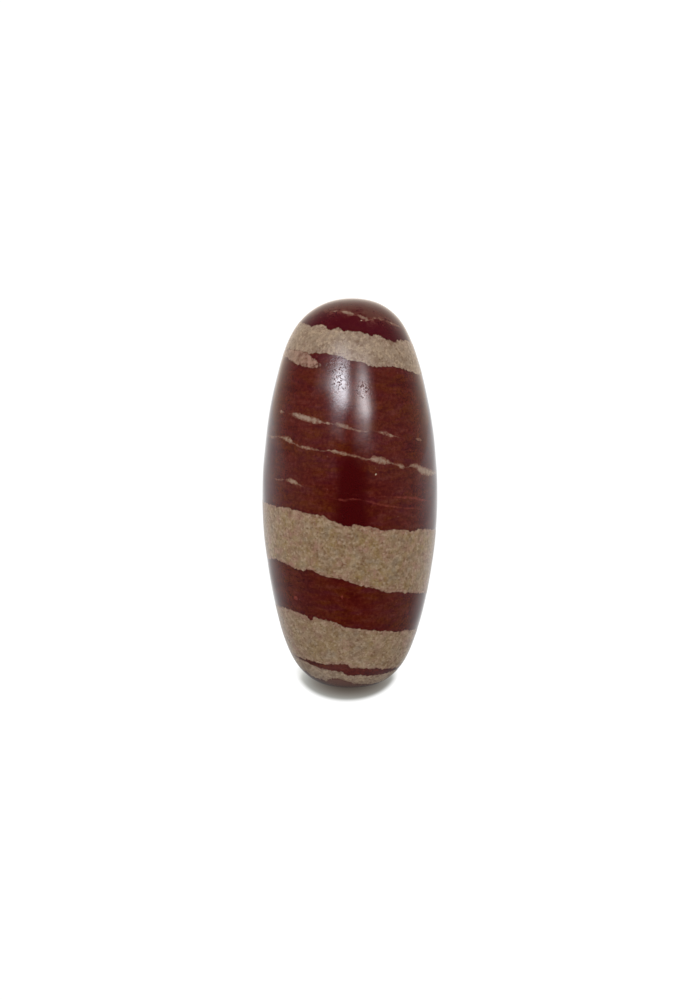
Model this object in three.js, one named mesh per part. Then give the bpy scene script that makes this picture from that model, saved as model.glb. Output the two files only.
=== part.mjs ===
// A polished banded river stone, long and egg-shaped, standing on a small flat worn into its lower end.
// Units are millimetres and +Z is up. The origin is the middle of the flat, and -Y is the side seen from
// the front.
import * as THREE from "three";

const stoneHeight = 100;
const waistRadius = 22.8; // the radius at mid height
const wornAway = 1.5; // how far the round lower end would reach below the flat, had it not been worn
const rimSoftness = 0.5; // half the height over which the flat's rim rounds over
const lean = 0.14; // how far the top stands off the base, towards +X
const tipDrift = 0.56; // how far the very tip wanders further, towards +X
const tipSharpness = 20; // the power of the height by which it does, so that only the tip wanders

// An ellipse is fattened towards both ends by these shares of its radius, each times a power of the height.
// The odd power makes the lower end a little fuller than the upper one.
const fullness = [
  { power: 4, share: 0.286 },
  { power: 5, share: -0.027 },
  { power: 8, share: 0.162 },
];

// Hand polishing leaves slow waves: a share of the radius, the waves around and along, and a start angle.
const waves = [
  { share: 0.006, around: 2, along: 0.5, start: 1.1 },
  { share: 0.004, around: 1, along: 1.5, start: 2.2 },
  { share: 0.003, around: 3, along: 2, start: 4 },
];

const stepsAround = 64;
const stepsUp = 44;

const halfLength = (stoneHeight + wornAway) / 2;
const middleHeight = stoneHeight - halfLength;

// The height of a point once the flat has been worn: level below the rim, and rounded over at the rim.
function wornHeight(z) {
  if (z <= -rimSoftness) return 0;
  if (z >= rimSoftness) return z;
  return (z + rimSoftness) ** 2 / (4 * rimSoftness);
}

// A point of the outline as (radius, height), from the tip at angle 0 to the round lower end at angle PI.
function outlinePoint(angle) {
  const rise = Math.cos(angle);
  const full = fullness.reduce((sum, { power, share }) => sum + share * rise ** power, 1);
  const radius = waistRadius * Math.sin(angle) * full;
  return new THREE.Vector2(radius, wornHeight(middleHeight + halfLength * rise));
}

// The outline from the middle of the flat out to its rim, then up to the tip.
function stoneOutline() {
  const rimAngle = Math.acos((-rimSoftness - middleHeight) / halfLength);
  const points = [new THREE.Vector2(0, 0)];
  for (let step = 0; step < stepsUp; step++) {
    points.push(outlinePoint(rimAngle * (1 - step / stepsUp)));
  }
  points.push(new THREE.Vector2(0, stoneHeight));
  return points;
}

// What the slow waves make of the radius at an angle about the axis and a height, as a share of it.
function waveShare(angle, z) {
  const alongHeight = (2 * Math.PI * z) / stoneHeight;
  return waves.reduce((sum, { share, around, along, start }) => {
    return sum + share * Math.cos(around * angle + along * alongHeight + start);
  }, 1);
}

// How far the stone's middle line stands off the Z axis at a height, towards +X.
function middleLine(z) {
  const up = z / stoneHeight;
  return lean * up + tipDrift * up ** tipSharpness;
}

function stoneGeometry() {
  const geometry = new THREE.LatheGeometry(stoneOutline(), stepsAround);
  geometry.rotateX(Math.PI / 2);
  const position = geometry.getAttribute("position");
  for (let i = 0; i < position.count; i++) {
    const x = position.getX(i);
    const y = position.getY(i);
    const z = position.getZ(i);
    const share = waveShare(Math.atan2(y, x), z);
    position.setXYZ(i, x * share + middleLine(z), y * share, z);
  }
  geometry.computeVertexNormals();
  return geometry;
}

const polishedStone = new THREE.MeshStandardMaterial({ color: "#6a3a2e", roughness: 0.22, metalness: 0 });

const stone = new THREE.Mesh(stoneGeometry(), polishedStone);
stone.name = "stone";

const part = new THREE.Group();
part.add(stone);

export default part;
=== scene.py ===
import math
import bpy
import numpy as np
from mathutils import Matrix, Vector


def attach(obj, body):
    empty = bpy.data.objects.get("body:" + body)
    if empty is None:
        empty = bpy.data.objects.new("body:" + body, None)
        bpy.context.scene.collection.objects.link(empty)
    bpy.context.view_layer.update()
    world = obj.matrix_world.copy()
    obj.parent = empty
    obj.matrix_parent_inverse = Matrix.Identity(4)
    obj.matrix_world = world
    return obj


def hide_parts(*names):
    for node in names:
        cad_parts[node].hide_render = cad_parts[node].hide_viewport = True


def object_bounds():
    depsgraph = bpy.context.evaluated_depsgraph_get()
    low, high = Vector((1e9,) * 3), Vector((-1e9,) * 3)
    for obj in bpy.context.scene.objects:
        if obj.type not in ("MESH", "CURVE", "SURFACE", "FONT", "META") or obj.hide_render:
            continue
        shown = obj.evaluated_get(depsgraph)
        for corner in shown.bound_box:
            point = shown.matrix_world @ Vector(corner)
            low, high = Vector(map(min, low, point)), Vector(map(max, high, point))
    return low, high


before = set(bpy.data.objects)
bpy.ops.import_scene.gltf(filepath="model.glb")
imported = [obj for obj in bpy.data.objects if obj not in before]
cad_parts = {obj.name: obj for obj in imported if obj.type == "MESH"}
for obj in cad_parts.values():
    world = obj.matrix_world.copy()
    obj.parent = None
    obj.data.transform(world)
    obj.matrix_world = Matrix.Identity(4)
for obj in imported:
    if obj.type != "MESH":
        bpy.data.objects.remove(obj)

cadLow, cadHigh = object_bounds()  # the solid's box, which the dressed stone has to stay inside
mm = 0.001


# Node helpers. A value that is a socket is linked, and any other value is set on the input itself.

def plug(tree, inputSocket, value):
    if isinstance(value, bpy.types.NodeSocket):
        tree.links.new(value, inputSocket)
    elif value is not None:
        inputSocket.default_value = value


def freshTree(owner):
    owner.use_nodes = True
    owner.node_tree.nodes.clear()
    return owner.node_tree


def addNode(tree, kind, inputs=None, **settings):
    node = tree.nodes.new("ShaderNode" + kind)
    for name, value in settings.items():
        setattr(node, name, value)
    for name, value in (inputs or {}).items():
        plug(tree, node.inputs[name], value)
    return node


def calc(tree, operation, first, second=None, third=None, clamp=False):
    node = addNode(tree, "Math", operation=operation, use_clamp=clamp)
    for inputSocket, value in zip(node.inputs, (first, second, third)):
        plug(tree, inputSocket, value)
    return node.outputs[0]


def times(tree, first, second):
    return calc(tree, "MULTIPLY", first, second)


def vectorCalc(tree, operation, first, second=None, output="Vector"):
    node = addNode(tree, "VectorMath", operation=operation)
    for inputSocket, value in zip(node.inputs, (first, second)):
        plug(tree, inputSocket, value)
    return node.outputs[output]


def splitVector(tree, vector):
    return addNode(tree, "SeparateXYZ", {"Vector": vector}).outputs


def remap(tree, value, fromMin, fromMax, toMin=0.0, toMax=1.0, smooth=False):
    node = addNode(tree, "MapRange", interpolation_type="SMOOTHSTEP" if smooth else "LINEAR")
    for inputSocket, number in zip(node.inputs, (value, fromMin, fromMax, toMin, toMax)):
        plug(tree, inputSocket, number)
    return node.outputs[0]


def blendColour(tree, share, first, second):
    node = addNode(tree, "Mix", data_type="RGBA", clamp_factor=True)
    plug(tree, node.inputs[0], share)
    plug(tree, node.inputs[6], first)
    plug(tree, node.inputs[7], second)
    return node.outputs[2]


def blendVector(tree, share, first, second):
    node = addNode(tree, "Mix", data_type="VECTOR", clamp_factor=True)
    plug(tree, node.inputs[0], share)
    plug(tree, node.inputs[4], first)
    plug(tree, node.inputs[5], second)
    return node.outputs[1]


def noise(tree, position, size, detail, roughness, shift):
    # A noise with features about this many millimetres across, moved by shift
    moved = vectorCalc(tree, "ADD", position, shift)
    inputs = {"Vector": moved, "Scale": 1 / size, "Detail": detail, "Roughness": roughness}
    return addNode(tree, "TexNoise", inputs).outputs["Fac"]


def varied(tree, value, pattern, amount):
    # value + amount * a noise moved down so that it varies about 0
    return calc(tree, "MULTIPLY_ADD", calc(tree, "SUBTRACT", pattern, 0.5), amount, value)


def combine(tree, operation, values):
    total = values[0]
    for value in values[1:]:
        total = calc(tree, operation, total, value)
    return total


def curveOf(tree, value, spots):
    # A smooth curve through spots of (value, result), both between 0 and 1 and rising in value
    node = addNode(tree, "FloatCurve", {"Value": value})
    curve = node.mapping.curves[0]
    while len(curve.points) < len(spots):
        curve.points.new(0.5, 0.5)
    for point, spot in zip(curve.points, spots):
        point.location = spot
        point.handle_type = "AUTO_CLAMPED"
    node.mapping.update()
    return node.outputs[0]


def newGroup(name, inputs, outputs):
    # inputs and outputs map a socket's name to its default value, whose type picks the socket's type
    group = bpy.data.node_groups.new(name, "ShaderNodeTree")
    kinds = {float: "NodeSocketFloat", tuple: "NodeSocketVector"}
    for direction, sockets in (("INPUT", inputs), ("OUTPUT", outputs)):
        for socketName, value in sockets.items():
            kind = kinds[type(value)]
            made = group.interface.new_socket(name=socketName, in_out=direction, socket_type=kind)
            made.default_value = value
    return group, group.nodes.new("NodeGroupInput").outputs, group.nodes.new("NodeGroupOutput").inputs


def useGroup(tree, group, **inputs):
    node = tree.nodes.new("ShaderNodeGroup")
    node.node_tree = group
    for name, value in inputs.items():
        plug(tree, node.inputs[name], value)
    return node.outputs


def addObject(name, data):
    made = bpy.data.objects.new(name, data)
    bpy.context.scene.collection.objects.link(made)
    return made


# The stone's surface

stone = {
    "waistRadius": 22.8 * mm,  # at mid height
    "wornAway": 1.5 * mm,      # how far the round lower end would reach below the flat
    "rimSoftness": 0.5 * mm,   # half the height over which the flat's rim rounds over
    "lean": 0.14 * mm,         # how far the top stands off the base, towards +X
    "tipDrift": 0.56 * mm,     # how far the very tip wanders further
    "tipSharpness": 20,        # the power of the height by which it does
    "fullness": ((4, 0.286), (5, -0.027), (8, 0.162)),  # power of the height, share of the radius
    # share of the radius, waves around, waves along, start angle
    "handWaves": ((0.006, 2, 0.5, 1.1), (0.004, 1, 1.5, 2.2), (0.003, 3, 2, 4.0)),
    # the last unevenness of the polish: depth, then its wave vector across the stone per metre, start angle
    "polishRipples": (
        (0.020 * mm, (310, 120, 240), 0.3),
        (0.016 * mm, (-260, 340, 410), 1.9),
        (0.010 * mm, (620, -480, 350), 4.2),
        (0.008 * mm, (-540, -610, 700), 2.6),
    ),
    "ripplesFrom": 2.0 * mm,    # the height at which the ripples start
    "ripplesFull": 8.0 * mm,    # and at which they have their whole depth
    "axisReach": 4.0 * mm,      # nearer to the axis than this, points move in by less
    "sinkShare": 0.3,           # the share of a ripple's depth by which a point also sinks
    "cellsAround": 104,         # of each of the four side panels, and both ways of the two end panels
    "cellsAlong": 180,          # of each side panel
    "mergeWithin": 0.002 * mm,  # points of two panels this close are one point
    "sidePanelShare": 0.61,     # of the bake map's height
}
stoneHeight = cadHigh[2] - cadLow[2]
halfLength = (stoneHeight + stone["wornAway"]) / 2
middleHeight = stoneHeight - halfLength


def wornHeight(z):
    # Level with the flat below the rim, and rounded over by a parabola at the rim
    soft = stone["rimSoftness"]
    return np.where(z <= -soft, 0, np.where(z >= soft, z, (z + soft) ** 2 / (4 * soft)))


def stoneSurface(turn, fall):
    # turn is the angle about the axis and fall the angle from the tip, 0, to the lower end, pi.
    # radius = waist radius * sin(fall) * (1 + each share * cos(fall) to its power) * (1 + the hand waves),
    # height = middle height + half length * cos(fall), worn level at the flat.
    rise = np.cos(fall)
    z = wornHeight(middleHeight + halfLength * rise)
    radius = stone["waistRadius"] * np.sin(fall) * (1 + sum(s * rise ** p for p, s in stone["fullness"]))
    up = z / stoneHeight
    radius = radius * (1 + sum(
        share * np.cos(around * turn + along * 2 * math.pi * up + start)
        for share, around, along, start in stone["handWaves"]
    ))
    x = radius * np.cos(turn) + stone["lean"] * up + stone["tipDrift"] * up ** stone["tipSharpness"]
    return np.stack([x, radius * np.sin(turn), z], axis=-1)


def polished(points):
    # Moves each point in towards the axis by a sum of faint sine ripples, and not at all at the flat
    x, y, z = points.T
    dent = sum(d * (1 + np.sin(x * w[0] + y * w[1] + z * w[2] + s)) for d, w, s in stone["polishRipples"])
    start, full = stone["ripplesFrom"], stone["ripplesFull"]
    fade = np.clip((z - start) / (full - start), 0, 1)
    radius = np.maximum(np.hypot(x, y), 1e-9)
    shrink = 1 - dent * fade / np.maximum(radius, stone["axisReach"])
    return np.stack([x * shrink, y * shrink, z - dent * fade * stone["sinkShare"]], axis=-1)


def sidePanel(quarter):
    # One of four panels round the waist: the view from the middle through an even grid of angles
    across = np.linspace(-1, 1, stone["cellsAround"] + 1) * math.pi / 4
    along = np.linspace(1, -1, stone["cellsAlong"] + 1) * math.pi / 4
    side, up = np.meshgrid(across, along)
    turn = side + quarter * math.pi / 2
    fall = np.arctan2(1 / np.cos(side), np.tan(up))
    return turn, fall


def endPanel(end):
    # The panel over the tip, end 1, or under the flat, end -1, which meets the four side panels
    across = np.tan(np.linspace(-1, 1, stone["cellsAround"] + 1) * math.pi / 4)
    x, y = np.meshgrid(across, -across if end > 0 else across)
    turn = np.arctan2(y, x)
    fall = np.arctan2(np.hypot(x, y), end)
    return turn, fall


def panelFaces(rows, columns, first):
    # Quads of a grid of points numbered from first, anticlockwise seen from outside
    index = first + np.arange(rows * columns).reshape(rows, columns)
    corners = (index[1:, :-1], index[1:, 1:], index[:-1, 1:], index[:-1, :-1])
    return np.stack([c.ravel() for c in corners], axis=-1)


def bakePlaces(rows, columns, left, bottom, width, height, gap=0.004):
    # Where a panel's points lie on the bake's map: its own rectangle, less a gap all round
    u = left + gap + (width - 2 * gap) * np.linspace(0, 1, columns)
    v = bottom + gap + (height - 2 * gap) * np.linspace(1, 0, rows)
    return np.stack(np.meshgrid(u, v), axis=-1).reshape(-1, 2)


def makeStoneMesh(name):
    panels = [sidePanel(q) for q in range(4)] + [endPanel(1), endPanel(-1)]
    sideShare = stone["sidePanelShare"]
    spots = [(q / 4, 1 - sideShare, 1 / 4, sideShare) for q in range(4)]
    spots += [(e / 2, 0, 1 / 2, 1 - sideShare) for e in range(2)]
    points, faces, places, first = [], [], [], 0
    for (turn, fall), spot in zip(panels, spots):
        rows, columns = turn.shape
        points.append(stoneSurface(turn, fall).reshape(-1, 3))
        faces.append(panelFaces(rows, columns, first))
        places.append(bakePlaces(rows, columns, *spot))
        first += rows * columns
    points, faces, places = np.concatenate(points), np.concatenate(faces), np.concatenate(places)

    # Panels share their border points: each place is kept once
    keys = np.round(points / stone["mergeWithin"]).astype(np.int64)
    unused, kept, newIndex = np.unique(keys, axis=0, return_index=True, return_inverse=True)
    cornerPlaces = places[faces.ravel()]
    faces = newIndex.ravel()[faces]
    points = polished(points[kept])

    # The solid's box is that of a faceted stone, so the smooth one is eased in by the hair it stands out
    low, high = np.array(cadLow), np.array(cadHigh)
    ease = np.minimum(1, np.array([high[:2] / points[:, :2].max(0), low[:2] / points[:, :2].min(0)]).min(0))
    points[:, :2] *= ease
    points[:, 2] = np.clip(points[:, 2], low[2], high[2])

    mesh = bpy.data.meshes.new(name)
    mesh.from_pydata(points.tolist(), [], faces.tolist())
    layer = mesh.uv_layers.new(name="OFBake")
    layer.data.foreach_set("uv", cornerPlaces.astype(np.float32).ravel())
    mesh.polygons.foreach_set("use_smooth", np.ones(len(mesh.polygons), dtype=bool))
    mesh.validate()
    mesh.update()
    return mesh


# Shader groups. Positions inside them are in millimetres.

def makeGrainGroup():
    # Sand grains: each point gets its grain's middle, that grain's random shade and how near its rim it is
    group, given, result = newGroup(
        "sandGrains",
        {"Position": (0.0, 0.0, 0.0), "Size": 1.0},
        {"Middle": (0.0, 0.0, 0.0), "Shade": 0.0, "Rim": 0.0},
    )
    rimWidth = 0.14  # as a share of a grain
    layout = {"Vector": given["Position"], "Scale": calc(group, "DIVIDE", 1.0, given["Size"])}
    cells = addNode(group, "TexVoronoi", layout)
    rims = addNode(group, "TexVoronoi", layout, feature="DISTANCE_TO_EDGE")
    random = addNode(group, "SeparateColor", {"Color": cells.outputs["Color"]})
    plug(group, result["Middle"], cells.outputs["Position"])
    plug(group, result["Shade"], random.outputs[0])
    plug(group, result["Rim"], remap(group, rims.outputs["Distance"], 0.0, rimWidth, 1.0, 0.0))
    return group


def makeBedGroup():
    # How far a point lies above one bedding plane, whose height is
    # level + tilt * x + dip * y + bend + waver * a slow noise that varies about 0
    group, given, result = newGroup(
        "beddingPlane",
        {
            "Position": (0.0, 0.0, 0.0),
            "Level": 0.0, "Tilt": 0.0, "Dip": 0.0, "Bend": 0.0, "Waver": 0.0, "Seed": 0.0,
        },
        {"Above": 0.0},
    )
    waverSize = 5.0  # millimetres across the slow noise's features
    x, y, z = splitVector(group, given["Position"])
    plane = calc(group, "MULTIPLY_ADD", x, given["Tilt"], given["Level"])
    plane = calc(group, "MULTIPLY_ADD", y, given["Dip"], plane)
    plane = calc(group, "ADD", plane, given["Bend"])
    shift = addNode(group, "CombineXYZ", {"X": given["Seed"], "Y": 0.0, "Z": given["Seed"]}).outputs[0]
    slow = noise(group, given["Position"], waverSize, 3.0, 0.6, shift)
    plane = varied(group, plane, slow, given["Waver"])
    plug(group, result["Above"], calc(group, "SUBTRACT", z, plane))
    return group


def makeFleckGroup():
    # Sparse round flecks in a share of the cells of a coarse grid, each of its own size. Strength is 1 inside
    # one and fades to 0 at its border.
    group, given, result = newGroup(
        "sparseFlecks",
        {"Position": (0.0, 0.0, 0.0), "Spacing": 1.0, "Radius": 0.2, "Share": 0.5},
        {"Strength": 0.0},
    )
    smallest = 0.4  # the smallest fleck's radius, as a share of the largest's
    core = 0.35     # the share of its radius out to which a fleck is whole
    scale = calc(group, "DIVIDE", 1.0, given["Spacing"])
    cells = addNode(group, "TexVoronoi", {"Vector": given["Position"], "Scale": scale})
    random = addNode(group, "SeparateColor", {"Color": cells.outputs["Color"]})
    reach = calc(group, "DIVIDE", given["Radius"], given["Spacing"])
    size = times(group, reach, remap(group, random.outputs[1], 0.0, 1.0, smallest, 1.0))
    outward = calc(group, "DIVIDE", cells.outputs["Distance"], size)
    fleck = remap(group, outward, core, 1.0, 1.0, 0.0, smooth=True)
    there = calc(group, "LESS_THAN", random.outputs[0], given["Share"])
    plug(group, result["Strength"], times(group, fleck, there))
    return group


# The banded stone's material. Beds run through the whole stone: a plane's level is its height on the axis,
# tilt its rise per millimetre towards +X and dip towards +Y. Bends are pairs of degrees about the axis and
# millimetres, with 0 degrees at the front and 90 at the right. Those behind, past 90 degrees, are made up.

beds = {
    "topUpper": {"level": 91.5, "tilt": -0.207, "dip": -0.06, "bends": (
        (-77, -0.2), (-56, -0.3), (-45, -0.6), (-42, -0.1), (-34, 0.3), (-27, 0.2), (-21, -0.6), (-16, 0.1),
        (-11, 0.4), (-4, 0), (0, 0.5), (9, 0.4), (17, 0.5), (21, 0), (26, 0.6), (35, 0.1), (45, -0.2),
        (53, 0.5), (72, 0.6), (110, -0.4), (140, 0.6))},
    "topLower": {"level": 84.6, "tilt": -0.197, "dip": -0.07, "bends": (
        (-74, -0.6), (-49, -0.3), (-39, -0.4), (-30, 0.1), (-17, 0.4), (-8, 0.2), (2, -0.2), (11, 0),
        (17, -0.6), (26, -0.4), (36, 0.4), (45, 0.3), (57, 0), (71, -0.4), (120, 0.5), (150, -0.4))},
    "lensUpper": {"level": 84.6, "tilt": -0.197, "dip": -0.07, "bends": (
        (-150, -4.0), (-110, -2.0), (-72, -0.8), (-48, -0.5), (-40, -0.6), (-36, -1.1), (-31, -1.7),
        (-28, -2.1), (-25, -2.6), (-22, -3.2), (-12, -4.0), (90, -4.0))},
    "lensLower": {"level": 84.6, "tilt": -0.197, "dip": -0.07, "bends": (
        (-150, -3.4), (-110, -2.6), (-68, -2.8), (-50, -3.7), (-43, -4.1), (-33, -4.0), (-28, -3.6),
        (-25, -3.2), (-22, -2.8), (-12, -2.5), (90, -3.4))},
    "wideUpper": {"level": 44.6, "tilt": -0.177, "dip": -0.05, "bends": (
        (-75, -0.4), (-51, 0), (-41, 0.3), (-18, 0.3), (-12, -0.2), (-6, -0.7), (0, -1.0), (4, -0.2),
        (8, -0.3), (13, -0.2), (20, -0.6), (28, 0), (42, -0.1), (54, 0.6), (110, -0.4), (150, 0.7))},
    "wideLower": {"level": 29.1, "tilt": -0.25, "dip": -0.06, "bends": (
        (-81, -1.0), (-60, -0.2), (-44, 0), (-36, -0.4), (-27, 0.4), (-20, 0), (-10, 0.2), (8, 0),
        (27, -0.3), (38, 0.2), (50, 0.2), (120, -0.7))},
    "lowUpper": {"level": 17.7, "tilt": -0.18, "dip": -0.06, "bends": (
        (-73, 0), (-51, 0.4), (-40, 0.2), (-34, 0.1), (-31, -1.0), (-28, 0.2), (-14, 0.3), (-7, -0.2),
        (1, -0.6), (17, -0.3), (30, -0.2), (45, 0), (60, 0.2), (140, -0.5))},
    "lowLower": {"level": 6.1, "tilt": -0.12, "dip": -0.10, "bends": (
        (-70, -0.1), (-40, -0.3), (-28, -0.4), (-13, 0.1), (-6, 0.4), (-1, 0.1), (3, -0.6), (8, -0.1),
        (20, -0.4), (30, 0), (40, -0.3), (60, 0), (90, 0.4))},
    "seamLower": {"level": 4.35, "tilt": -0.14, "dip": -0.06, "bends": (
        (-70, 1.6), (-58, 1.25), (-49, 1.1), (-42, 0.7), (-28, 0.3), (-20, 0.3), (-12, 0.5), (-7, 0.2),
        (-1, -0.3), (18, 0), (30, 0.2), (40, 0.5), (52, 1.1), (70, 1.4), (110, 0.4), (-140, 0.6))},
    "wedgeLower": {"level": 1.6, "tilt": -0.14, "dip": -0.05, "bends": (
        (-60, 0.7), (-52, -0.3), (-40, -0.5), (-24, 0.3), (-14, 1.0), (-7, 0.8), (1, 0.4), (12, 0), (25, 0),
        (40, 0.4))},
}

# Thin broken streaks: a plane as above with bends, and pairs of degrees and the streak's half thickness there
streaks = {
    "cap": {"level": 95.9, "tilt": -0.25, "dip": -0.10, "bends": (
        (-70, -3.0), (-45, -2.0), (-25, -0.6), (-9, -0.1), (11, -0.1), (20, -0.5), (27, -0.3), (36, 0.4),
        (50, 0.2), (66, -0.2)), "halves": (
        (-60, 0), (-32, 0), (-24, 0.3), (-14, 0.15), (-9, 0.6), (2, 0.65), (8, 0.1), (12, 0.45), (20, 0.55),
        (25, 0.1), (31, 0.3), (40, 0.3), (46, 0.15), (55, 0.35), (66, 0.35), (75, 0), (120, 0.5),
        (150, 0.0))},
    "upper": {"level": 67.4, "tilt": -0.195, "dip": -0.09, "bends": (
        (-56, 0.5), (-43, 0.4), (-20, 0), (-5, 0.1), (5, -0.3), (20, 0.3), (34, -0.1), (54, 0.1)), "halves": (
        (-150, 0), (-120, 0.5), (-100, 0), (-60, 0), (-56, 0.5), (-51, 0.0), (-46, 0.1), (-43, 0.6),
        (-37, 0.85), (-24, 0.8), (-20, 0.5), (-17, 0.25), (-14, 0.35), (-12, 0.25), (-8, 0.55), (-2, 0.6),
        (1, 0.3), (5, 0.35), (9, 0.25), (14, 0.1), (18, 0.1), (22, 0.5), (28, 0.55), (32, 0.15), (48, 0.0),
        (54, 0.4), (59, 0.0), (95, 0.0), (110, 0.5), (125, 0.05), (160, 0.5))},
    "lower": {"level": 60.4, "tilt": -0.216, "dip": -0.09, "bends": (
        (-65, 0.1), (-52, 0.7), (-40, 0), (-35, -0.4), (-18, -0.3), (-12, 0.3), (4, 0.3), (11, 0),
        (15, 0.5), (23, 0.5), (30, 0.3), (38, 0), (45, 0.8), (54, -0.1), (70, -0.3)), "halves": (
        (-165, 0.5), (-130, 0.0), (-66, 0.35), (-56, 0.2), (-50, 0.6), (-43, 0.75), (-40, 0.2), (-35, 0.3),
        (-29, 0.5), (-25, 0.35), (-22, 0.35), (-18, 0.2), (-12, 0.3), (-9, 0.55), (-4, 0.6), (0, 0.25),
        (4, 0.4), (8, 0.35), (12, 0.25), (14, 0.6), (20, 1.0), (24, 0.7), (27, 0.4), (31, 0.2), (34, 0.7),
        (37, 0.5), (39, 0.2), (43, 0.4), (48, 0.8), (54, 1.15), (62, 1.05), (72, 0.7), (90, 0.1),
        (140, 0.1))},
    "short": {"level": 50.9, "tilt": -0.173, "dip": -0.09, "bends": (
        (-55, 0), (-42, 0.5), (-30, -0.2)), "halves": (
        (-60, 0), (-54, 0.3), (-47, 0.2), (-44, 0.35), (-41, 0.75), (-36, 0.5), (-32, 0.25), (-30, 0),
        (120, 0), (135, 0.6), (150, 0))},
}
redHairs = {
    "first": {"level": 49.5, "tilt": -0.155, "dip": -0.09, "bends": (
        (-5, -0.3), (4, 0.4), (14, 0.1), (28, -0.2), (53, -0.1)), "halves": (
        (-9, 0), (-5, 0.25), (3, 0.25), (6, 0.05), (12, 0.2), (20, 0.35), (28, 0.2), (40, 0.2), (53, 0.1),
        (60, 0))},
    "second": {"level": 51.2, "tilt": -0.155, "dip": -0.09, "bends": (
        (13, 0), (26, 0.5), (42, 0.8), (61, 0.3)), "halves": (
        (10, 0), (16, 0.15), (24, 0.05), (30, 0.2), (44, 0.35), (54, 0.3), (66, 0), (150, 0), (165, 0.2))},
}

# Lone grains: their place in millimetres, their radius, and whether they are red or tan
loneGrains = {
    "cap": {"place": (3.0, -11.9, 95.1), "radius": 0.24, "red": False},
    "waist": {"place": (6.55, -21.7, 57.7), "radius": 0.25, "red": False},
    "low": {"place": (-1.8, -20.4, 26.5), "radius": 0.4, "red": True},
    "left": {"place": (-13.7, -14.9, 25.2), "radius": 0.7, "red": True},
}

# Noises: millimetres across their features, detail, roughness and shift
patterns = {
    "lensWear": (1.3, 3, 0.65, (22, 7, 50)),
    "ochres": (3.6, 3, 0.5, (3, 7, 1)),
    "pinks": (2.6, 3, 0.6, (31, 2, 9)),
    "mottle": (1.5, 3, 0.7, (12, 40, 6)),
    "pores": (0.62, 1, 0.5, (61, 4, 19)),
    "speckle": (0.8, 3, 0.7, (9, 9, 2)),
    # wavers the border of the painted dark reflection
    "paintedReflectionWaver": (6.0, 3, 0.5, (8, 18, 28)),
    "capMottle": (2.4, 4, 0.65, (27, 13, 4)),
    "capPinks": (1.4, 4, 0.7, (14, 3, 29)),
    "streakWear": (0.8, 3, 0.7, (2, 33, 60)),
    "holes": (0.5, 2, 0.6, (40, 4, 14)),
    "pittedPatches": (3.0, 2, 0.5, (5, 50, 5)),
    "dulling": (1.1, 3, 0.6, (70, 0, 0)),
    "skin": (0.8, 3, 0.6, (0, 80, 0)),
}
layeredPatterns = {  # these are stretched along the beds
    "browns": (4.0, 4, 0.6, (17, 5, 3)),
    "mauves": (3.0, 3, 0.6, (44, 15, 8)),
    "dusts": (2.2, 4, 0.65, (4, 21, 37)),
}

# Spans: two values of what a mask is read from, then the mask at each of them
spans = {
    "lensLeft": (-15, -9, 0.75, 0.1),  # the least of the lens that is left, by millimetres to the right
    "lensPink": (-16, -9, 0.2, 0.8),   # how pink it is, likewise
    "paleTop": (67, 69, 0, 0.75),      # how pale the highest bed is, by millimetres of height
    "paleLow": (23, 21, 0, 0.2),       # how pale the lowest ones are, likewise
    "paleWedge": (0.2, 0, 0, 0.75),    # how pale the wedge is, by millimetres above the seam
    "base": (0.1, -0.4, 0, 1),         # the mauve lower end, by millimetres above the wedge's plane
    "cap": (-0.1, 0.1, 0, 1),          # the cap, by millimetres above the highest bed
    "paintedDarkReflection": (0.45, 1.1, 0.95, 0),      # the painted dark reflection, by how far out of it a place lies
    "overCapBrownAndSheen": (-1, 1.2, 0, 1),        # the cap's brown and painted sheen, by millimetres above its streak
    "overCapBrownAndSheenMottle": (0.34, 0.54, 0.45, 1),
    "capPinks": (0.50, 0.66, 0, 1),
    "nearCapStreak": (0.3, 2.2, 0.5, 0),  # the cap's pink, by millimetres off its streak
    "streak": (-0.45, 0.55, 0, 0.95),     # a streak, by millimetres inside its worn border
    "streakThere": (-0.03, 0.2, 0, 1),    # and inside its whole border
    "streakMottle": (0.36, 0.54, 0.65, 1),
    "thickStreak": (0.2, 0.75, 0, 1),  # where it is thick enough to be pale
    "hair": (-0.15, 0.3, 0, 0.6),      # a red hair, by millimetres inside it
    "hairMottle": (0.40, 0.56, 0.45, 1),
    "holes": (0.54, 0.64, 0, 1),
    "sparsePits": (0.64, 0.72, 0, 0.2),
}

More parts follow.
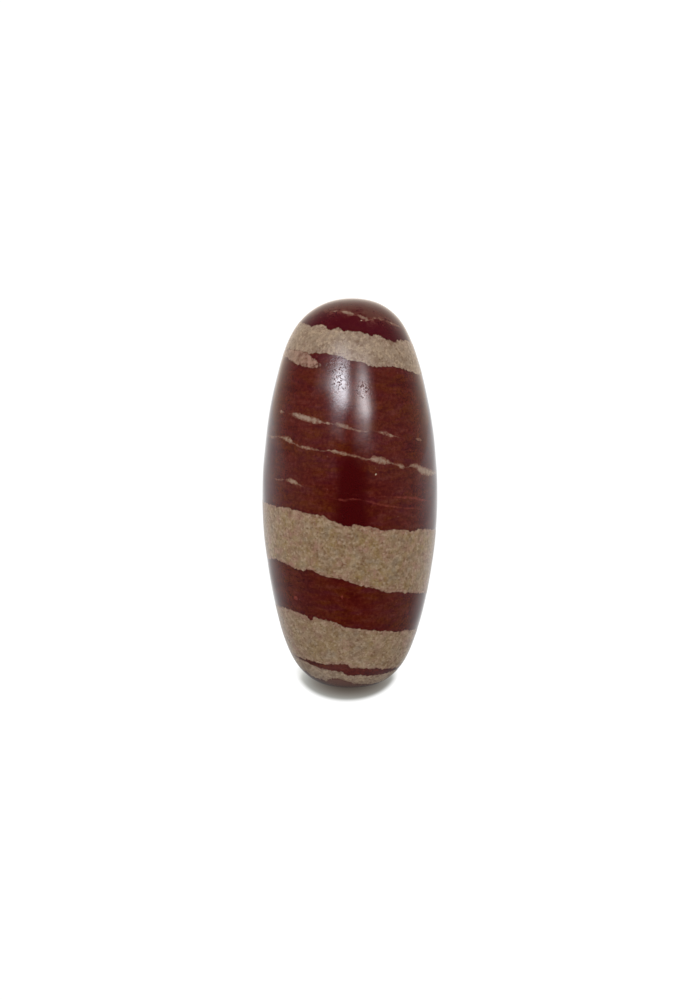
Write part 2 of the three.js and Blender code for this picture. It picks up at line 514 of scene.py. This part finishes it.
# Colours laid over one another in turn: a mask, its values where the colour starts and where it is strongest,
# the colour's share there, and the colour
sandTints = (
    ("ochres", 0.40, 0.66, 0.8, "sandOchre"),
    ("pinks", 0.50, 0.68, 0.8, "sandPink"),
    ("pinks", 0.46, 0.32, 0.7, "sandGrey"),
    ("nearEdge", 1, 0.2, 0.55, "sandPink"),
    ("pale", 0, 1, 1, "sandPale"),
    ("mottle", 0.50, 0.72, 0.6, "sandLight"),
    ("mottle", 0.48, 0.28, 0.5, "sandDark"),
    ("grainShade", 0.60, 1, 0.6, "sandLight"),
    ("grainShade", 0.30, 0, 0.5, "sandDark"),
    ("pores", 0.60, 0.74, 0.7, "sandDark"),
    ("grainRim", 0, 1, 0.25, "sandDark"),
    ("pinkLens", 0, 1, 1, "sandPink"),
)
maroonTints = (
    ("browns", 0.42, 0.62, 1, "maroonBrown"),
    ("mauves", 0.52, 0.66, 0.9, "maroonMauve"),
    ("dusts", 0.52, 0.68, 0.7, "maroonDusty"),
    ("dusts", 0.46, 0.34, 0.7, "maroonDeep"),
    ("speckle", 0.52, 0.30, 0.8, "maroonDeep"),
    ("speckle", 0.54, 0.76, 0.3, "hairRed"),
    # the painted dark reflection low in the front
    ("paintedDarkReflection", 0, 1, 1, "maroonDeep"),
    # the cap's brown, partly a painted sheen from overhead
    ("overCapBrownAndSheen", 0, 1, 1, "capBrownAndSheen"),
    ("underCap", 0, 1, 0.8, "capDeep"),
    ("capPink", 0, 1, 1, "streakPink"),
    ("flecks", 0, 1, 0.4, "streakPink"),
    ("nearEdge", 0.7, 0.1, 0.5, "maroonDeep"),
    ("redHairs", 0, 1, 1, "hairRed"),
    ("base", 0, 1, 0.8, "mauveBase"),
)

bandedStone = {
    "maroonDeep": (0.044, 0.0009, 0.0014, 1),
    "maroonRed": (0.074, 0.0068, 0.0032, 1),
    "maroonBrown": (0.082, 0.0135, 0.0010, 1),
    "maroonMauve": (0.066, 0.0060, 0.0085, 1),
    "maroonDusty": (0.098, 0.019, 0.013, 1),
    "hairRed": (0.190, 0.035, 0.024, 1),
    "streakPink": (0.155, 0.050, 0.036, 1),
    "streakPale": (0.262, 0.184, 0.136, 1),
    "grainPale": (0.560, 0.440, 0.300, 1),
    "capBrownAndSheen": (0.080, 0.027, 0.020, 1),   # above the cap's streak: its brown, partly a painted sheen from overhead
    "capDeep": (0.047, 0.0032, 0.0078, 1),  # below it
    "sandMean": (0.250, 0.162, 0.092, 1),
    "sandLight": (0.350, 0.258, 0.165, 1),
    "sandOchre": (0.246, 0.160, 0.056, 1),
    "sandPink": (0.284, 0.145, 0.105, 1),
    "sandGrey": (0.222, 0.170, 0.112, 1),
    "sandPale": (0.246, 0.183, 0.133, 1),  # the highest bed and the lowest
    "sandDark": (0.104, 0.050, 0.024, 1),
    "mauveBase": (0.120, 0.063, 0.048, 1),
    "sandGrain": 0.62,       # millimetres across a grain
    "edgeLobe": 1.5,         # millimetres across the lobes of a bed's edge
    "edgeByLobes": 0.38,     # how far a bed's edge follows the lobes
    "edgeByGrains": 0.4,     # and the grains
    "streakByGrains": 0.45,  # how far a streak follows the grains
    "edgeSoftness": 0.13,    # half the millimetres over which a bed's edge is soft
    "edgeWaver": 0.5,        # millimetres by which a bed's edge wavers
    "streakWaver": 0.4,      # and a streak
    "hairWaver": 0.8,        # and a red hair, and the cap's brown and painted sheen
    "streakSeed": 100.0,     # moves the first streak's noise away from the beds'
    "hairSeed": 200.0,       # and the first hair's
    "mostBend": 5.0,         # the furthest that a bend may reach, in millimetres
    "mostHalf": 1.6,         # and the thickest half of a streak
    "layerTurn": 11,         # degrees by which the maroon's layers tilt
    "layerStretch": (0.5, 0.5, 1.5),
    "streakWear": 1.7,  # millimetres by which a streak's border is worn
    "streakSand": 0.4,  # the share of the sand's colour in a streak
    "capRagged": 5.0,   # millimetres by which the border of the cap's brown and painted sheen wanders
    "capAbove": 80.0,   # the height above which the cap's colours lie
    # a painted dark reflection low in the front, and patches that the river left more pitted: middles and
    # reaches
    "paintedReflectionMiddle": (0.3, -22.5, 50.0),
    "paintedReflectionReach": (5.0, 8.0, 19.0),
    "fleckShift": (15, 25, 35),
    "flecks": {"Spacing": 1.9, "Radius": 0.34, "Share": 0.3},
    "pitted": (((-2.9, -17.2, 84.4), 4.0), ((-2.6, -18.3, 80.6), 3.4), ((3.5, -18.9, 78.6), 3.0)),
    "pittedCore": 0.4,  # the share of its reach out to which a patch is pitted most
    "maroonRough": 0.09,
    "sandRough": 0.25,
    "roughSpread": 0.10,  # by how much the roughness varies
    "pitRough": 0.3,      # what a pit adds to it
    "pitPaintedShade": 0.3,       # the share by which its colour is darkened, a painted shade in the pit
    "ior": 1.54,
    "maroonRelief": 0.006 * mm,
    "sandRelief": 0.010 * mm,
    "pittedRelief": 1.5,  # by what share relief is deeper in the pitted patches
    "pitDepth": 0.019 * mm,
}


def spanned(tree, value, name, smooth=False):
    return remap(tree, value, *spans[name], smooth=smooth)


def bendOf(tree, around, pairs, reach):
    # Millimetres between -reach and reach, drawn as a curve over the degrees about the axis
    spots = sorted(((d + 180) / 360, 0.5 + v / (2 * reach)) for d, v in pairs)
    ends = (spots[0][1] + spots[-1][1]) / 2
    drawn = curveOf(tree, around, [(0.0, ends)] + spots + [(1.0, ends)])
    return calc(tree, "MULTIPLY_ADD", drawn, 2 * reach, -reach)


def stonePlaces(tree):
    # Places in the stone, in millimetres. Those for edges and streaks are drawn towards the middles of
    # grains, so that they follow the grains.
    finish = bandedStone
    grainGroup = makeGrainGroup()
    objectPlace = addNode(tree, "TexCoord").outputs["Object"]
    place = addNode(tree, "Mapping", {"Vector": objectPlace, "Scale": (1 / mm,) * 3}).outputs[0]
    layered = addNode(tree, "Mapping", {
        "Vector": place,
        "Rotation": (0, math.radians(finish["layerTurn"]), 0),
        "Scale": finish["layerStretch"],
    }).outputs[0]
    x, y, z = splitVector(tree, place)
    angle = calc(tree, "ARCTAN2", x, times(tree, y, -1.0))
    lobes = useGroup(tree, grainGroup, Position=place, Size=finish["edgeLobe"])
    grains = useGroup(tree, grainGroup, Position=place, Size=finish["sandGrain"])
    lobed = blendVector(tree, finish["edgeByLobes"], place, lobes["Middle"])
    return {
        "place": place,
        "layered": layered,
        "rightward": x,
        "height": z,
        "around": calc(tree, "MULTIPLY_ADD", angle, 1 / (2 * math.pi), 0.5),  # 0 at the back, 0.5 in front
        "edge": blendVector(tree, finish["edgeByGrains"], lobed, grains["Middle"]),
        "streak": blendVector(tree, finish["streakByGrains"], place, grains["Middle"]),
        "grains": grains,
        "bedGroup": makeBedGroup(),
    }


def above(tree, at, bed, seed, position, waver):
    # How far a place lies above a bed's plane, in millimetres
    bend = bendOf(tree, at["around"], bed["bends"], bandedStone["mostBend"])
    plane = useGroup(tree, at["bedGroup"], Position=at[position], Level=bed["level"], Tilt=bed["tilt"],
                     Dip=bed["dip"], Bend=bend, Waver=waver, Seed=seed)
    return plane["Above"]


def between(tree, upper, lower):
    # 1 below the upper plane and above the lower one, with soft edges
    soft = bandedStone["edgeSoftness"]
    under = remap(tree, upper, soft, -soft, smooth=True)
    over = remap(tree, lower, -soft, soft, smooth=True)
    return times(tree, under, over)


def addBedMasks(tree, at, masks):
    edges = {}
    for n, (name, bed) in enumerate(beds.items()):
        edges[name] = above(tree, at, bed, 11.0 * n, "edge", bandedStone["edgeWaver"])
    lensLeft = spanned(tree, at["rightward"], "lensLeft")
    lensWear = remap(tree, masks["lensWear"], 0.38, 0.58, lensLeft, 1.0)
    lens = times(tree, between(tree, edges["lensUpper"], edges["lensLower"]), lensWear)
    masks["sand"] = combine(tree, "MAXIMUM", [
        between(tree, edges["topUpper"], edges["topLower"]),
        lens,
        between(tree, edges["wideUpper"], edges["wideLower"]),
        between(tree, edges["lowUpper"], edges["lowLower"]),
        between(tree, edges["seamLower"], edges["wedgeLower"]),
    ])
    masks["pinkLens"] = times(tree, lens, spanned(tree, at["rightward"], "lensPink"))
    masks["pale"] = combine(tree, "MAXIMUM", [
        spanned(tree, at["height"], "paleTop"),
        spanned(tree, at["height"], "paleLow"),
        spanned(tree, edges["seamLower"], "paleWedge"),
    ])
    masks["nearEdge"] = combine(tree, "MINIMUM", [calc(tree, "ABSOLUTE", edge) for edge in edges.values()])
    masks["base"] = spanned(tree, edges["wedgeLower"], "base", smooth=True)
    masks["cap"] = spanned(tree, edges["topUpper"], "cap")


def insideStreaks(tree, at, family, firstSeed, waver):
    # How far a place lies inside the streaks of a family, in millimetres
    depths = []
    for n, streak in enumerate(family.values()):
        half = bendOf(tree, at["around"], streak["halves"], bandedStone["mostHalf"])
        offPlane = above(tree, at, streak, firstSeed + 7.0 * n, "streak", waver)
        depths.append(calc(tree, "SUBTRACT", half, calc(tree, "ABSOLUTE", offPlane)))
    return combine(tree, "MAXIMUM", depths)


def loneGrainMask(tree, at, red):
    core, border = 0.6, 1.1  # where a grain starts to fade and where it ends, as shares of its radius
    found = []
    for grain in loneGrains.values():
        if grain["red"] == red:
            away = vectorCalc(tree, "DISTANCE", at["streak"], grain["place"], output="Value")
            radius = grain["radius"]
            found.append(remap(tree, away, radius * core, radius * border, 1.0, 0.0, smooth=True))
    return combine(tree, "MAXIMUM", found)


def addStreakMasks(tree, at, masks):
    # Streaks have worn borders, and are pale where they are thick
    finish = bandedStone
    depth = insideStreaks(tree, at, streaks, finish["streakSeed"], finish["streakWaver"])
    worn = varied(tree, depth, masks["streakWear"], finish["streakWear"])
    masks["thickStreak"] = spanned(tree, worn, "thickStreak", smooth=True)
    share = times(tree, spanned(tree, worn, "streak", smooth=True), spanned(tree, depth, "streakThere"))
    share = times(tree, share, spanned(tree, masks["mottle"], "streakMottle"))
    masks["tanGrains"] = loneGrainMask(tree, at, red=False)
    masks["streaks"] = calc(tree, "MAXIMUM", share, masks["tanGrains"])

    hairDepth = insideStreaks(tree, at, redHairs, finish["hairSeed"], finish["hairWaver"])
    hairs = calc(tree, "MAXIMUM", spanned(tree, hairDepth, "hair", smooth=True),
                 loneGrainMask(tree, at, red=True))
    masks["redHairs"] = times(tree, hairs, spanned(tree, masks["mottle"], "hairMottle"))


def addCloudMasks(tree, at, masks):
    # A painted dark reflection low in the front, the cap's brown with a painted sheen and deep red either
    # side of its streak, and flecks
    finish = bandedStone
    # the painted dark reflection: an oval low in the front, darkened towards deep red
    cloud = addNode(tree, "Mapping", {
        "Vector": vectorCalc(tree, "SUBTRACT", at["place"], finish["paintedReflectionMiddle"]),
        "Scale": tuple(1 / reach for reach in finish["paintedReflectionReach"]),
    }).outputs[0]
    outward = varied(tree, vectorCalc(tree, "LENGTH", cloud, output="Value"), masks["paintedReflectionWaver"], 1.0)
    masks["paintedDarkReflection"] = spanned(tree, outward, "paintedDarkReflection", smooth=True)

    offStreak = above(tree, at, streaks["cap"], finish["streakSeed"], "edge", finish["hairWaver"])
    ragged = varied(tree, offStreak, masks["capMottle"], finish["capRagged"])
    # the cap's brown, partly a painted sheen from overhead, above its streak
    masks["overCapBrownAndSheen"] = times(tree, spanned(tree, ragged, "overCapBrownAndSheen", smooth=True),
                            spanned(tree, masks["capMottle"], "overCapBrownAndSheenMottle"))
    below = calc(tree, "SUBTRACT", 1.0, masks["overCapBrownAndSheen"])
    below = times(tree, below, calc(tree, "GREATER_THAN", at["height"], finish["capAbove"]))
    masks["underCap"] = times(tree, below, masks["cap"])
    near = spanned(tree, calc(tree, "ABSOLUTE", offStreak), "nearCapStreak")
    masks["capPink"] = times(tree, spanned(tree, masks["capPinks"], "capPinks"), near)

    moved = vectorCalc(tree, "ADD", at["place"], finish["fleckShift"])
    masks["flecks"] = useGroup(tree, makeFleckGroup(), Position=moved, **finish["flecks"])["Strength"]


def addPitMasks(tree, at, masks):
    # Irregular pits, crowded in a few patches and sparse elsewhere
    crowding = spanned(tree, masks["pittedPatches"], "sparsePits")
    for middle, reach in bandedStone["pitted"]:
        away = vectorCalc(tree, "DISTANCE", at["place"], middle, output="Value")
        core = reach * bandedStone["pittedCore"]
        crowding = calc(tree, "MAXIMUM", crowding, remap(tree, away, core, reach, 1.0, 0.0, smooth=True))
    masks["crowding"] = crowding
    masks["pits"] = times(tree, spanned(tree, masks["holes"], "holes"), crowding)


def tinted(tree, masks, colour, tints):
    # Lays tints over a colour in turn
    for name, start, strongest, most, tint in tints:
        share = remap(tree, masks[name], start, strongest, 0.0, most)
        colour = blendColour(tree, share, colour, bandedStone[tint])
    return colour


def stoneRoughness(tree, masks):
    finish = bandedStone
    rough = remap(tree, masks["sand"], 0.0, 1.0, finish["maroonRough"], finish["sandRough"])
    rough = varied(tree, rough, masks["dulling"], finish["roughSpread"])
    return calc(tree, "MULTIPLY_ADD", masks["pits"], finish["pitRough"], rough, clamp=True)


def stoneNormal(tree, masks):
    # Relief: a faint skin, deeper in the sandy stone and between its grains, and the pits
    finish = bandedStone
    depth = remap(tree, masks["sand"], 0.0, 1.0, finish["maroonRelief"], finish["sandRelief"])
    deeper = calc(tree, "MULTIPLY_ADD", masks["crowding"], finish["pittedRelief"], 1.0)
    relief = times(tree, masks["skin"], times(tree, depth, deeper))
    rims = times(tree, masks["grainRim"], masks["sand"])
    relief = calc(tree, "SUBTRACT", relief, times(tree, rims, finish["sandRelief"]))
    relief = calc(tree, "MULTIPLY_ADD", masks["pits"], -finish["pitDepth"], relief)
    return addNode(tree, "Bump", {"Strength": 1.0, "Distance": 1.0, "Height": relief}).outputs[0]


def makeStoneMaterial():
    finish = bandedStone
    material = bpy.data.materials.new("bandedStone")
    tree = freshTree(material)
    at = stonePlaces(tree)
    masks = {"grainShade": at["grains"]["Shade"], "grainRim": at["grains"]["Rim"]}
    for position, family in (("place", patterns), ("layered", layeredPatterns)):
        masks.update({name: noise(tree, at[position], *setup) for name, setup in family.items()})
    addBedMasks(tree, at, masks)
    addStreakMasks(tree, at, masks)
    addCloudMasks(tree, at, masks)
    addPitMasks(tree, at, masks)

    sand = tinted(tree, masks, finish["sandMean"], sandTints)
    maroon = tinted(tree, masks, finish["maroonRed"], maroonTints)
    streak = blendColour(tree, masks["thickStreak"], finish["streakPink"], finish["streakPale"])
    streak = blendColour(tree, finish["streakSand"], streak, sand)
    streak = blendColour(tree, masks["tanGrains"], streak, finish["grainPale"])
    colour = blendColour(tree, masks["streaks"], maroon, streak)
    colour = blendColour(tree, masks["sand"], colour, sand)
    # painted shade: the pits are darkened towards deep red
    colour = blendColour(tree, times(tree, masks["pits"], finish["pitPaintedShade"]), colour, finish["maroonDeep"])
    surface = addNode(tree, "BsdfPrincipled", {
        "Base Color": colour,
        "Roughness": stoneRoughness(tree, masks),
        "IOR": finish["ior"],
        "Normal": stoneNormal(tree, masks),
    })
    addNode(tree, "OutputMaterial", {"Surface": surface.outputs[0]})
    return material


def makeBandedStone():
    mesh = makeStoneMesh("bandedStone")
    mesh.materials.append(makeStoneMaterial())
    piece = addObject("bandedStone", mesh)
    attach(piece, "root")
    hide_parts("stone")
    print("banded stone:", len(mesh.vertices), "points,", len(mesh.polygons), "quads")


# Floor, surroundings, lights and camera. The floor and the room are white to the camera, while the polish
# mirrors a dimmer room that grows brighter behind the stone.

whiteRoom = {  # what the floor and the surroundings share
    "seen": 1.05,         # brightness to the camera
    "lightBefore": 0.30,  # brightness that lights the stone's colours, before it
    "lightBehind": 1.20,  # and from beside it backwards
    "rightward": 0.05,    # the share by which the right outshines the middle
}
floorSetup = {
    "halfSide": 4.0,
    "before": 0.02,        # brightness in the polish, before the stone
    "beside": 0.25,        # beside it
    "behind": 1.10,        # and behind it
    "rimHalfWidth": 13.8,  # the oval shade round the seat, in millimetres
    "rimHalfDepth": 37.5,
    "rimBehind": 16.0,      # how far its middle lies behind the stone's
    "rimAside": -0.7,       # and how far to the right
    "darkHalfWidth": 11.8,  # the oval by which it brightens outward
    "darkHalfDepth": 22.5,
    "darkBehind": 2.0,
    "darkest": 0.070,   # the shade's brightness near the seat, where it starts to rise
    "darkShare": 0.44,  # how far out that is, as a share of the dark oval
    "darkRise": 3.25,   # how steeply it rises from there
    "brightest": 0.7,   # where it stops rising
    "rimEnd": 1.05,     # how far out in its oval the rim has turned white
    "warmth": (1.25, 1.0, 0.80, 1),  # the shade's colour near the seat
    "farTint": (0.99, 1, 0.95, 1),   # and at its rim
    # spans as in the stone, by how far back a place lies
    "rimStart": (2 * mm, 14 * mm, 0.91, 0.80),  # how far out the rim starts to turn white
    "rimFeather": (14 * mm, 24 * mm, 0, 0.6),   # what is taken off that further back
    "shadeGone": (10 * mm, 34 * mm, 0, 1),      # how far the shade has gone behind the stone
    # spans by how far out in the dark oval a place lies
    "warmthLeft": (0.4, 0.95, 1, 0.05),
    "nearMirrored": (1, 2.2, 0.28, 0),     # the least brightness in the polish
    "underMirrored": (0.3, 1.1, 0.15, 1),  # and what is left of it under the stone
    "nearLight": (1, 2.5, 0.92, 0),        # the least that lights the stone's colours
    "underLight": (0.4, 0.9, 0.55, 1),     # and what is left of it under the stone
}


def ovalOutward(tree, place, name, aside=0.0):
    # How far out a point of the floor lies in an oval: 0 at its middle, 1 at its rim
    halfWidth, halfDepth = floorSetup[name + "HalfWidth"], floorSetup[name + "HalfDepth"]
    oval = addNode(tree, "Mapping", {
        "Vector": place,
        "Location": (-aside / halfWidth, -floorSetup[name + "Behind"] / halfDepth, 0),
        "Scale": (1 / (halfWidth * mm), 1 / (halfDepth * mm), 0),
    }).outputs[0]
    return vectorCalc(tree, "LENGTH", oval, output="Value")


def floorSeen(tree, place, out):
    # To the camera: a warm grey shade, darkest at the seat, ends at a soft rim
    setup = floorSetup
    beyondDark = calc(tree, "SUBTRACT", out, setup["darkShare"])
    rise = calc(tree, "EXPONENT", times(tree, beyondDark, setup["darkRise"]))
    shaded = calc(tree, "MINIMUM", times(tree, rise, setup["darkest"]), setup["brightest"])
    backward = splitVector(tree, place)[1]
    rimStart = calc(tree, "SUBTRACT", remap(tree, backward, *setup["rimStart"]),
                    remap(tree, backward, *setup["rimFeather"]))
    rimOut = ovalOutward(tree, place, "rim", setup["rimAside"])
    rim = remap(tree, rimOut, rimStart, setup["rimEnd"], smooth=True)
    rim = calc(tree, "MAXIMUM", rim, remap(tree, backward, *setup["shadeGone"], smooth=True))
    warmthLeft = remap(tree, out, *setup["warmthLeft"])
    warmth = blendColour(tree, warmthLeft, setup["farTint"], setup["warmth"])
    white = (whiteRoom["seen"],) * 3 + (1,)
    return blendColour(tree, rim, vectorCalc(tree, "MULTIPLY", warmth, shaded), white)


def makeFloor():
    setup = floorSetup
    side = setup["halfSide"]
    mesh = bpy.data.meshes.new("floor")
    corners = [(-side, -side, 0), (side, -side, 0), (side, side, 0), (-side, side, 0)]
    mesh.from_pydata(corners, [], [(0, 1, 2, 3)])
    material = bpy.data.materials.new("paleFloor")
    tree = freshTree(material)
    place = addNode(tree, "TexCoord").outputs["Object"]
    across, along, unused = splitVector(tree, vectorCalc(tree, "NORMALIZE", place))
    out = ovalOutward(tree, place, "dark")
    seen = floorSeen(tree, place, out)

    # In the polish: brighter the further round to the back a point lies, and dark round the seat
    front = remap(tree, along, -1.0, 0.0, setup["before"], setup["beside"])
    back = remap(tree, along, 0.0, 1.0, 0.0, setup["behind"] - setup["beside"])
    mirrored = calc(tree, "ADD", front, back)
    mirrored = times(tree, mirrored, calc(tree, "MULTIPLY_ADD", across, whiteRoom["rightward"], 1.0))
    mirrored = calc(tree, "MAXIMUM", mirrored, remap(tree, out, *setup["nearMirrored"]))
    mirrored = times(tree, mirrored, remap(tree, out, *setup["underMirrored"]))

    # On the stone's colours
    lighting = remap(tree, along, -1.0, 0.0, whiteRoom["lightBefore"], whiteRoom["lightBehind"])
    lighting = calc(tree, "MAXIMUM", lighting, remap(tree, out, *setup["nearLight"]))
    lighting = times(tree, lighting, remap(tree, out, *setup["underLight"]))

    ray = addNode(tree, "LightPath").outputs
    shade = blendColour(tree, ray["Is Diffuse Ray"], mirrored, lighting)
    shade = blendColour(tree, ray["Is Camera Ray"], shade, seen)
    surface = addNode(tree, "Emission", {"Color": shade, "Strength": 1.0})
    addNode(tree, "OutputMaterial", {"Surface": surface.outputs[0]})
    mesh.materials.append(material)
    floor = addObject("floor", mesh)
    print("floor laid")


surroundings = {
    "level": 0.18,     # brightness in the polish all round, fading upwards
    "behind": 1.08,    # what is added straight behind the stone
    "gather": 1.8,     # the power by which that gathers there
    "overhead": 0.55,  # the share of that which is lost overhead
    "warmth": (1.14, 1.02, 0.90, 1),  # the colour of what is behind, and not of what is before
    "warmFrom": -0.2,  # how far back a direction points where that colour starts
    "warmFull": 0.5,   # and where it is whole
    "gap": 0.02,       # brightness of the dark gap where the camera stands
    "gapAside": 0.05,  # its middle, as a slope to the right
    "gapInner": 0.30,  # slopes at which it starts and stops fading
    "gapOuter": 0.46,
    "gapFrom": -0.1,  # how far back a direction points where the gap starts
    "gapFull": -0.4,  # and where it is whole
}


def makeSurroundings():
    setup = surroundings
    world = bpy.data.worlds.new("surroundings")
    bpy.context.scene.world = world
    tree = freshTree(world)
    direction = addNode(tree, "TexCoord").outputs["Generated"]
    x, y, z = splitVector(tree, direction)
    up = calc(tree, "MAXIMUM", z, 0.0)
    level = times(tree, calc(tree, "SUBTRACT", 1.0, up), setup["level"])
    aside = calc(tree, "ABSOLUTE", calc(tree, "SUBTRACT", x, setup["gapAside"]))
    inGap = remap(tree, aside, setup["gapInner"], setup["gapOuter"], 1.0, 0.0, smooth=True)
    before = remap(tree, y, setup["gapFrom"], setup["gapFull"], smooth=True)
    inGap = times(tree, inGap, before)
    level = remap(tree, inGap, 0.0, 1.0, level, setup["gap"])
    back = calc(tree, "POWER", calc(tree, "MAXIMUM", y, 0.0), setup["gather"])
    back = times(tree, back, setup["behind"])
    back = times(tree, back, calc(tree, "MULTIPLY_ADD", up, -setup["overhead"], 1.0))
    back = times(tree, back, calc(tree, "MULTIPLY_ADD", x, whiteRoom["rightward"], 1.0))
    ray = addNode(tree, "LightPath").outputs
    lighting = remap(tree, y, -1.0, 0.0, whiteRoom["lightBefore"], whiteRoom["lightBehind"])
    light = remap(tree, ray["Is Diffuse Ray"], 0.0, 1.0, calc(tree, "ADD", level, back), lighting)
    light = remap(tree, ray["Is Camera Ray"], 0.0, 1.0, light, whiteRoom["seen"])
    warm = remap(tree, y, setup["warmFrom"], setup["warmFull"])
    warm = times(tree, warm, calc(tree, "SUBTRACT", 1.0, ray["Is Camera Ray"]))
    tint = blendColour(tree, warm, (1, 1, 1, 1), setup["warmth"])
    background = addNode(tree, "Background", {"Color": tint, "Strength": light})
    addNode(tree, "OutputWorld", {"Surface": background.outputs[0]})
    print("surroundings made")


# Two softboxes, drawn as the stone sees them: their shine over degrees to the right of the front, as shares,
# and over degrees up from the level, as brightness
lights = {
    "leftSoftbox": {
        "colour": (0.92, 0.95, 1.03),
        "across": ((-60, 0), (-50, 0.025), (-38, 0.08), (-32, 0.18), (-25, 0.52), (-19, 0.92), (-14, 1),
                   (-7.5, 0.62), (-1, 0.13), (5, 0)),
        "along": ((11, 0), (13, 0.6), (17, 0.9), (19.3, 1.3), (20.8, 5), (22.5, 12.5), (25, 16.5), (29, 11),
                  (34, 6.7), (40, 3.2), (48, 1.0), (56, 0)),
    },
    "rightSoftbox": {
        "colour": (1.0, 0.97, 1.0),
        "across": ((1, 0), (6, 0.09), (12.5, 0.4), (18, 0.76), (22.5, 1), (27, 0.74), (31, 0.34), (35, 0.1),
                   (42, 0)),
        "along": ((9, 0), (11, 1.6), (14, 2.4), (16.5, 5), (18.5, 8.7), (21, 9.2), (25, 6.0), (29, 3),
                  (34, 1.6), (40, 0)),
    },
}
lightDistance = 1.2


def fromFront(azimuth, elevation, distance):
    # A point at this distance from the stone's middle. Azimuth 0 is the front, -Y, and 90 the right, +X.
    a, e = math.radians(azimuth), math.radians(elevation)
    return Vector((math.sin(a) * math.cos(e), -math.cos(a) * math.cos(e), math.sin(e))) * distance


def shine(tree, place, pairs):
    # The curve of pairs of degrees and values over a flat lamp, as shares of its highest value
    first, last = pairs[0][0], pairs[-1][0]
    middle, reach = (first + last) / 2, 2 * math.tan(math.radians((last - first) / 2))
    top = max(value for degrees, value in pairs)
    spots = []
    for degrees, value in pairs:
        spots.append((0.5 + math.tan(math.radians(degrees - middle)) / reach, value / top))
    return curveOf(tree, place, spots)


def makeLights():
    middle = Vector((0, 0, stoneHeight / 2))
    for name, setup in lights.items():
        across, along = setup["across"], setup["along"]
        azimuth, elevation = (across[0][0] + across[-1][0]) / 2, (along[0][0] + along[-1][0]) / 2
        light = bpy.data.lights.new(name, "AREA")
        light.shape = "RECTANGLE"
        light.size = 2 * lightDistance * math.tan(math.radians((across[-1][0] - across[0][0]) / 2))
        light.size_y = 2 * lightDistance * math.tan(math.radians((along[-1][0] - along[0][0]) / 2))
        # A lamp's brightness is its energy over four times its area
        light.energy = max(value for degrees, value in along) * 4 * light.size * light.size_y
        light.color = setup["colour"]
        tree = freshTree(light)
        spot = addNode(tree, "NewGeometry").outputs["Parametric"]
        rightward, upward, unused = splitVector(tree, spot)
        glow = times(tree, shine(tree, rightward, across), shine(tree, upward, along))
        surface = addNode(tree, "Emission", {"Strength": glow})
        addNode(tree, "OutputLight", {"Surface": surface.outputs[0]})
        lamp = addObject(name, light)
        lamp.visible_camera = False
        offset = fromFront(azimuth, elevation, lightDistance)
        lamp.location = middle + offset
        lamp.rotation_euler = offset.to_track_quat("Z", "Y").to_euler()
    print("lights set:", len(lights))


cameraSetup = {
    "elevation": 8.5,  # degrees above the level
    "distance": 0.52,
    "lens": 72.4,  # millimetres, as is the sensor's width
    "sensorWidth": 36,
    "nearest": 0.01,      # nothing nearer than this is drawn
    "aimDrop": 2.0 * mm,  # how far below the stone's middle the picture's middle lies
    "aside": 0.12 * mm,   # how far the camera stands to the right
}


def makeCamera():
    middle = Vector((cameraSetup["aside"], 0, stoneHeight / 2))
    camera = bpy.data.cameras.new("camera")
    camera.lens = cameraSetup["lens"]
    camera.sensor_width = cameraSetup["sensorWidth"]
    camera.clip_start = cameraSetup["nearest"]
    holder = addObject("camera", camera)
    holder.location = middle + fromFront(0, cameraSetup["elevation"], cameraSetup["distance"])
    aim = middle - Vector((0, 0, cameraSetup["aimDrop"]))
    holder.rotation_euler = (aim - holder.location).to_track_quat("-Z", "Y").to_euler()
    bpy.context.scene.camera = holder
    bpy.context.scene.view_settings.view_transform = "Standard"
    print("camera placed")


makeCamera()
makeBandedStone()
makeFloor()
makeSurroundings()
makeLights()
